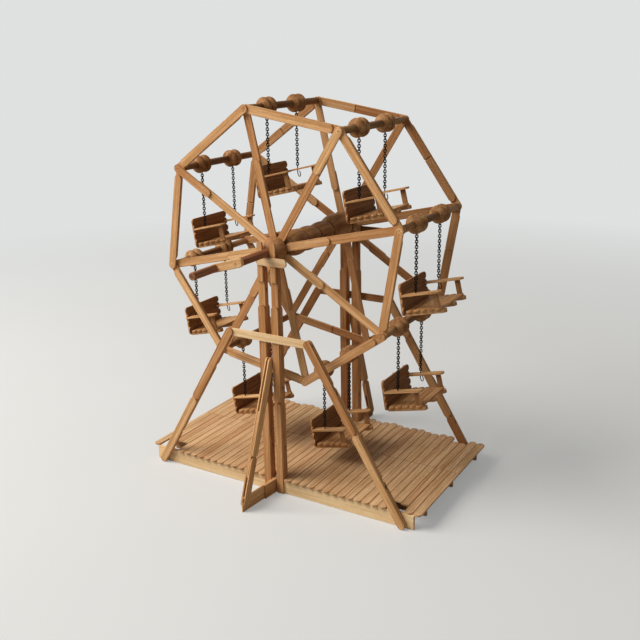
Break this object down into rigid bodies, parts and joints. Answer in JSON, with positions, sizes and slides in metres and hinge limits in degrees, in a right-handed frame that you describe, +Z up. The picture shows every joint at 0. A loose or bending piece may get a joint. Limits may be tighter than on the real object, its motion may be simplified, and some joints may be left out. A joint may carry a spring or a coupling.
{
  "type": "crank ferris wheel toy",
  "caption": "Hand-cranked wooden ferris wheel toy: an octagonal wheel built of sticks turns on a braced planked base and carries benches hung on chains that stay level.",
  "frame": {"origin": "middle of the base at table level, on the underside of the keel", "axes": "+Z up, X across the wheel, Y along the axle with the crank at -Y"},
  "size_m": [0.372, 0.344, 0.4474],
  "materials": {
    "stick_wood": "craft sticks under a golden brown satin stain, grain along each stick",
    "pale_wood": "paler bare wood strips with a light satin varnish",
    "dark_wood": "turned wood stained dark walnut, satin",
    "chain_metal": "fine blackened wire chain"
  },
  "bodies": {
    "stand": {"rail_inner": "stick_wood", "rail_middle": "stick_wood", "keel": "stick_wood", "deck": "stick_wood", "rail_front": "pale_wood", "pegs_front": "stick_wood", "axle_rest_front": "pale_wood", "crossbar_front": "pale_wood", "foot_front": "stick_wood", "brace_front": "stick_wood", "post_front_left": "stick_wood", "leg_front_left": "stick_wood", "post_front_right": "stick_wood", "leg_front_right": "stick_wood", "rail_back": "stick_wood", "pegs_back": "stick_wood", "axle_rest_back": "dark_wood", "crossbar_back": "stick_wood", "foot_back": "stick_wood", "brace_back": "stick_wood", "post_back_left": "stick_wood", "leg_back_left": "stick_wood", "post_back_right": "stick_wood", "leg_back_right": "stick_wood"},
    "wheel": {"axle": "dark_wood", "centre_spindle": "dark_wood", "hub_front": "dark_wood", "hub_back": "dark_wood", "rim_front": "stick_wood", "rim_back": "stick_wood", "spokes_front": "stick_wood", "spokes_back": "stick_wood", "crank_arm": "stick_wood", "crank_handle": "dark_wood", "spindle_1": "dark_wood", "spindle_2": "dark_wood", "spindle_3": "dark_wood", "spindle_4": "dark_wood", "spindle_5": "dark_wood", "spindle_6": "dark_wood", "spindle_7": "dark_wood", "spindle_8": "dark_wood"},
    "seat_1": {"bench_1": "stick_wood", "chains_1": "chain_metal"},
    "seat_2": {"bench_2": "stick_wood", "chains_2": "chain_metal"},
    "seat_3": {"bench_3": "stick_wood", "chains_3": "chain_metal"},
    "seat_4": {"bench_4": "stick_wood", "chains_4": "chain_metal"},
    "seat_5": {"bench_5": "stick_wood", "chains_5": "chain_metal"},
    "seat_6": {"bench_6": "stick_wood", "chains_6": "chain_metal"},
    "seat_7": {"bench_7": "stick_wood", "chains_7": "chain_metal"},
    "seat_8": {"bench_8": "stick_wood", "chains_8": "chain_metal"}
  },
  "joints": [
    {"name": "wheel_spin", "type": "hinge", "parent": "stand", "child": "wheel", "pos_m": [0, 0, 0.288], "axis": [0, 1, 0], "continuous": true},
    {"name": "seat_1_swing", "type": "hinge", "parent": "wheel", "child": "seat_1", "pos_m": [-0.12961, -0.005, 0.3693], "axis": [0, 1, 0], "continuous": true},
    {"name": "seat_2_swing", "type": "hinge", "parent": "wheel", "child": "seat_2", "pos_m": [-0.03416, -0.005, 0.43714], "axis": [0, 1, 0], "continuous": true},
    {"name": "seat_3_swing", "type": "hinge", "parent": "wheel", "child": "seat_3", "pos_m": [0.0813, -0.005, 0.41761], "axis": [0, 1, 0], "continuous": true},
    {"name": "seat_4_swing", "type": "hinge", "parent": "wheel", "child": "seat_4", "pos_m": [0.14914, -0.005, 0.32216], "axis": [0, 1, 0], "continuous": true},
    {"name": "seat_5_swing", "type": "hinge", "parent": "wheel", "child": "seat_5", "pos_m": [0.12961, -0.005, 0.2067], "axis": [0, 1, 0], "continuous": true},
    {"name": "seat_6_swing", "type": "hinge", "parent": "wheel", "child": "seat_6", "pos_m": [0.03416, -0.005, 0.13886], "axis": [0, 1, 0], "continuous": true},
    {"name": "seat_7_swing", "type": "hinge", "parent": "wheel", "child": "seat_7", "pos_m": [-0.0813, -0.005, 0.15839], "axis": [0, 1, 0], "continuous": true},
    {"name": "seat_8_swing", "type": "hinge", "parent": "wheel", "child": "seat_8", "pos_m": [-0.14914, -0.005, 0.25384], "axis": [0, 1, 0], "continuous": true}
  ],
  "couplings": [
    {"joint": "seat_1_swing", "follows": "wheel_spin", "ratio": -1},
    {"joint": "seat_2_swing", "follows": "wheel_spin", "ratio": -1},
    {"joint": "seat_3_swing", "follows": "wheel_spin", "ratio": -1},
    {"joint": "seat_4_swing", "follows": "wheel_spin", "ratio": -1},
    {"joint": "seat_5_swing", "follows": "wheel_spin", "ratio": -1},
    {"joint": "seat_6_swing", "follows": "wheel_spin", "ratio": -1},
    {"joint": "seat_7_swing", "follows": "wheel_spin", "ratio": -1},
    {"joint": "seat_8_swing", "follows": "wheel_spin", "ratio": -1}
  ]
}
